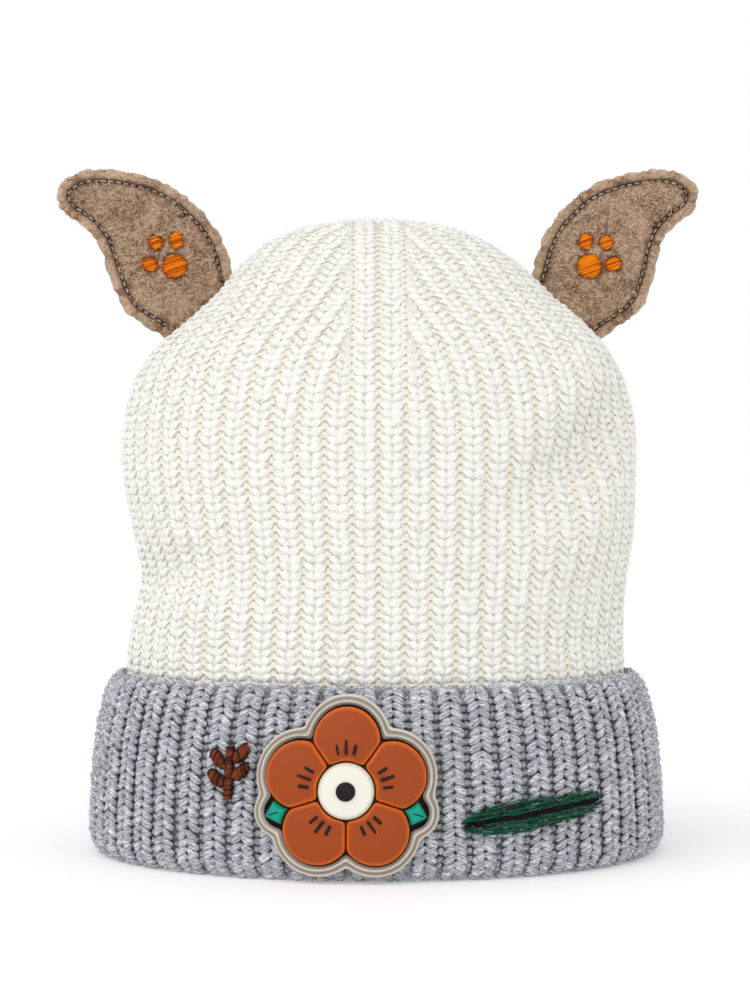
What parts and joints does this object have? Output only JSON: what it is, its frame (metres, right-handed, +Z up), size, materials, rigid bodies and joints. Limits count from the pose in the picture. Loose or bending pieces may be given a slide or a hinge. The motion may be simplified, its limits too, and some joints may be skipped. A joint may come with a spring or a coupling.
{
  "type": "baby hat with ears",
  "caption": "Rib-knit baby beanie with a thick turned-up cuff, two padded felt ears with embroidered paws, a moulded flower badge and embroidered leaves.",
  "frame": {"origin": "on the surface the hat stands on, under the middle of its overall box", "axes": "+Z up through the crown, -Y towards the front with the badge, +X to the right seen from the front"},
  "size_m": [0.186, 0.14, 0.1969],
  "materials": {
    "white_knit": "off-white coarse rib knit",
    "grey_knit": "blue-grey marled coarse rib knit",
    "felt": "brushed taupe felt with topstitching",
    "orange_thread": "orange satin stitch",
    "brown_thread": "brown satin stitch",
    "green_thread": "green satin stitch",
    "dark_thread": "dark stitching",
    "rim_rubber": "soft moulded rubber, satin",
    "dark_rubber": "soft moulded rubber, satin",
    "brown_rubber": "soft moulded rubber, satin",
    "cream_rubber": "soft moulded rubber, satin",
    "teal_rubber": "soft moulded rubber, satin"
  },
  "bodies": {
    "root": {"crown": "white_knit", "cuff": "grey_knit", "ear_left": "felt", "ear_right": "felt", "paw_left_pad": "orange_thread", "paw_left_toe_1": "orange_thread", "paw_left_toe_2": "orange_thread", "paw_left_toe_3": "orange_thread", "paw_right_pad": "orange_thread", "paw_right_toe_1": "orange_thread", "paw_right_toe_2": "orange_thread", "paw_right_toe_3": "orange_thread", "badge_tray": "rim_rubber", "badge_field": "dark_rubber", "badge_petal_1": "brown_rubber", "badge_petal_2": "brown_rubber", "badge_petal_3": "brown_rubber", "badge_petal_4": "brown_rubber", "badge_petal_5": "brown_rubber", "badge_leaf_1": "teal_rubber", "badge_leaf_2": "teal_rubber", "badge_centre": "cream_rubber", "badge_bud": "dark_rubber", "twig_stem": "brown_thread", "twig_leaf_1": "brown_thread", "twig_leaf_2": "brown_thread", "twig_leaf_3": "brown_thread", "twig_leaf_4": "brown_thread", "long_leaf_upper": "green_thread", "long_leaf_lower": "green_thread", "long_leaf_rib": "dark_thread"}
  },
  "joints": []
}
